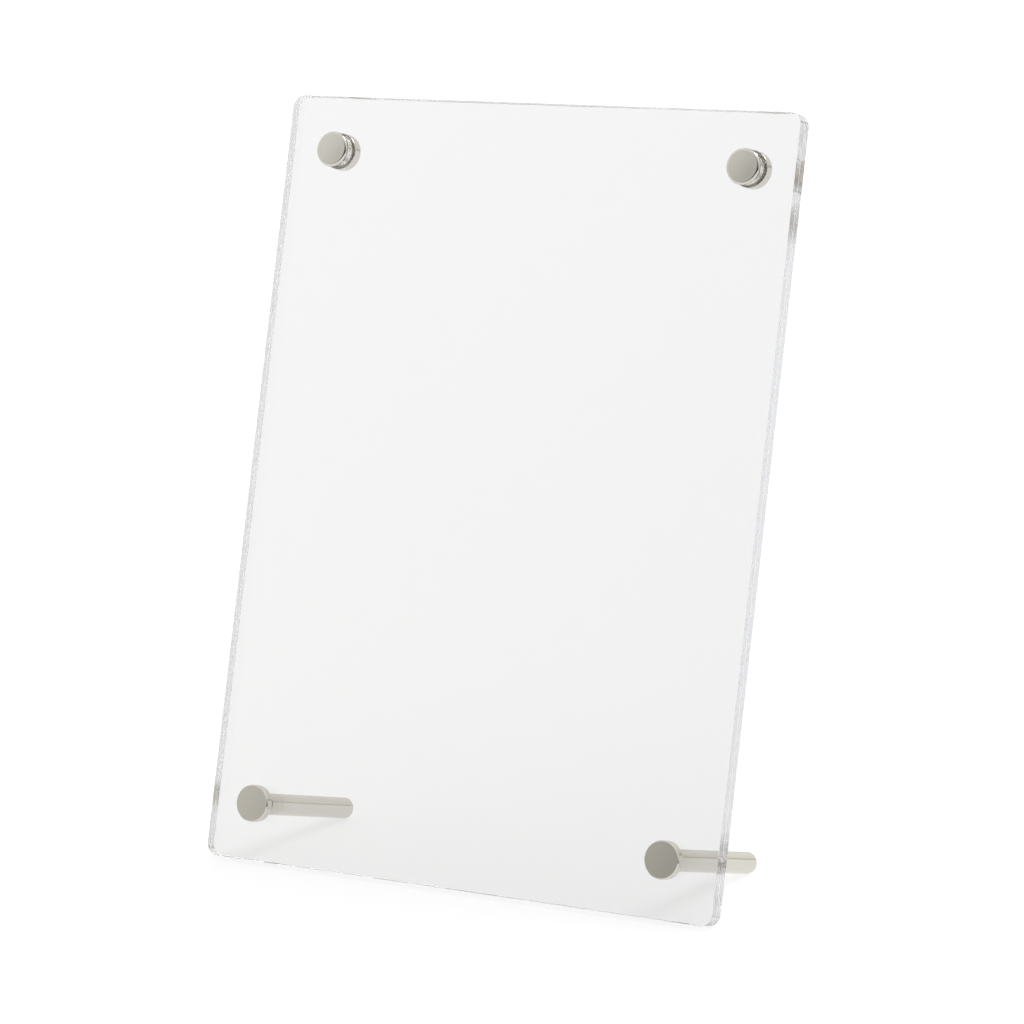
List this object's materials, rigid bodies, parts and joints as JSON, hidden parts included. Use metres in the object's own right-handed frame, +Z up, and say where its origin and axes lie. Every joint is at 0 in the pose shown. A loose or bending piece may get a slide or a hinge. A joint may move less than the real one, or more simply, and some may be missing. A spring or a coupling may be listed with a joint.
{
  "type": "photo album stand",
  "caption": "Leaning photo stand: clear sheets with rounded corners clamped face to face by round-headed screws; long round legs reach back from the lower screws to the table.",
  "frame": {"origin": "middle of the footprint's bounding box, on the table", "axes": "+X to the right as seen from the front, +Y backwards, +Z up; the sheets face -Y and lean back"},
  "size_m": [0.185, 0.0782, 0.241],
  "materials": {
    "clear_acrylic": "clear, polished edges",
    "clear_nylon": "translucent",
    "satin_nickel": "satin, lengthwise grain on the legs"
  },
  "bodies": {
    "stand": {"rear_sheet": "clear_acrylic", "upper_left_nut": "satin_nickel", "upper_right_nut": "satin_nickel", "left_leg": "satin_nickel", "right_leg": "satin_nickel"},
    "cover": {"front_sheet": "clear_acrylic"},
    "upper_left_washer": {"upper_left_washer": "clear_nylon"},
    "upper_left_screw": {"upper_left_screw": "satin_nickel"},
    "upper_right_washer": {"upper_right_washer": "clear_nylon"},
    "upper_right_screw": {"upper_right_screw": "satin_nickel"},
    "lower_left_washer": {"lower_left_washer": "clear_nylon"},
    "lower_left_screw": {"lower_left_screw": "satin_nickel"},
    "lower_right_washer": {"lower_right_washer": "clear_nylon"},
    "lower_right_screw": {"lower_right_screw": "satin_nickel"}
  },
  "joints": [
    {"name": "cover_lift", "type": "slide", "parent": "stand", "child": "cover", "axis": [0, -0.957, 0.29], "range_m": [0, 0.015]},
    {"name": "upper_left_travel", "type": "slide", "parent": "cover", "child": "upper_left_washer", "axis": [0, -0.957, 0.29], "range_m": [0, 0.0028]},
    {"name": "upper_left_turn", "type": "hinge", "parent": "upper_left_washer", "child": "upper_left_screw", "pos_m": [-0.075, 0.02783, 0.22439], "axis": [0, -0.957, 0.29], "range_deg": [0, 1440]},
    {"name": "upper_right_travel", "type": "slide", "parent": "cover", "child": "upper_right_washer", "axis": [0, -0.957, 0.29], "range_m": [0, 0.0028]},
    {"name": "upper_right_turn", "type": "hinge", "parent": "upper_right_washer", "child": "upper_right_screw", "pos_m": [0.075, 0.02783, 0.22439], "axis": [0, -0.957, 0.29], "range_deg": [0, 1440]},
    {"name": "lower_left_travel", "type": "slide", "parent": "cover", "child": "lower_left_washer", "axis": [0, -0.957, 0.29], "range_m": [0, 0.0056]},
    {"name": "lower_left_turn", "type": "hinge", "parent": "lower_left_washer", "child": "lower_left_screw", "pos_m": [-0.075, -0.03424, 0.01959], "axis": [0, -0.957, 0.29], "range_deg": [0, 2880]},
    {"name": "lower_right_travel", "type": "slide", "parent": "cover", "child": "lower_right_washer", "axis": [0, -0.957, 0.29], "range_m": [0, 0.0056]},
    {"name": "lower_right_turn", "type": "hinge", "parent": "lower_right_washer", "child": "lower_right_screw", "pos_m": [0.075, -0.03424, 0.01959], "axis": [0, -0.957, 0.29], "range_deg": [0, 2880]}
  ],
  "couplings": [
    {"joint": "upper_left_turn", "follows": "upper_left_travel", "rad_per_m": 8976},
    {"joint": "upper_right_turn", "follows": "upper_right_travel", "rad_per_m": 8976},
    {"joint": "lower_left_turn", "follows": "lower_left_travel", "rad_per_m": 8976},
    {"joint": "lower_right_turn", "follows": "lower_right_travel", "rad_per_m": 8976}
  ]
}
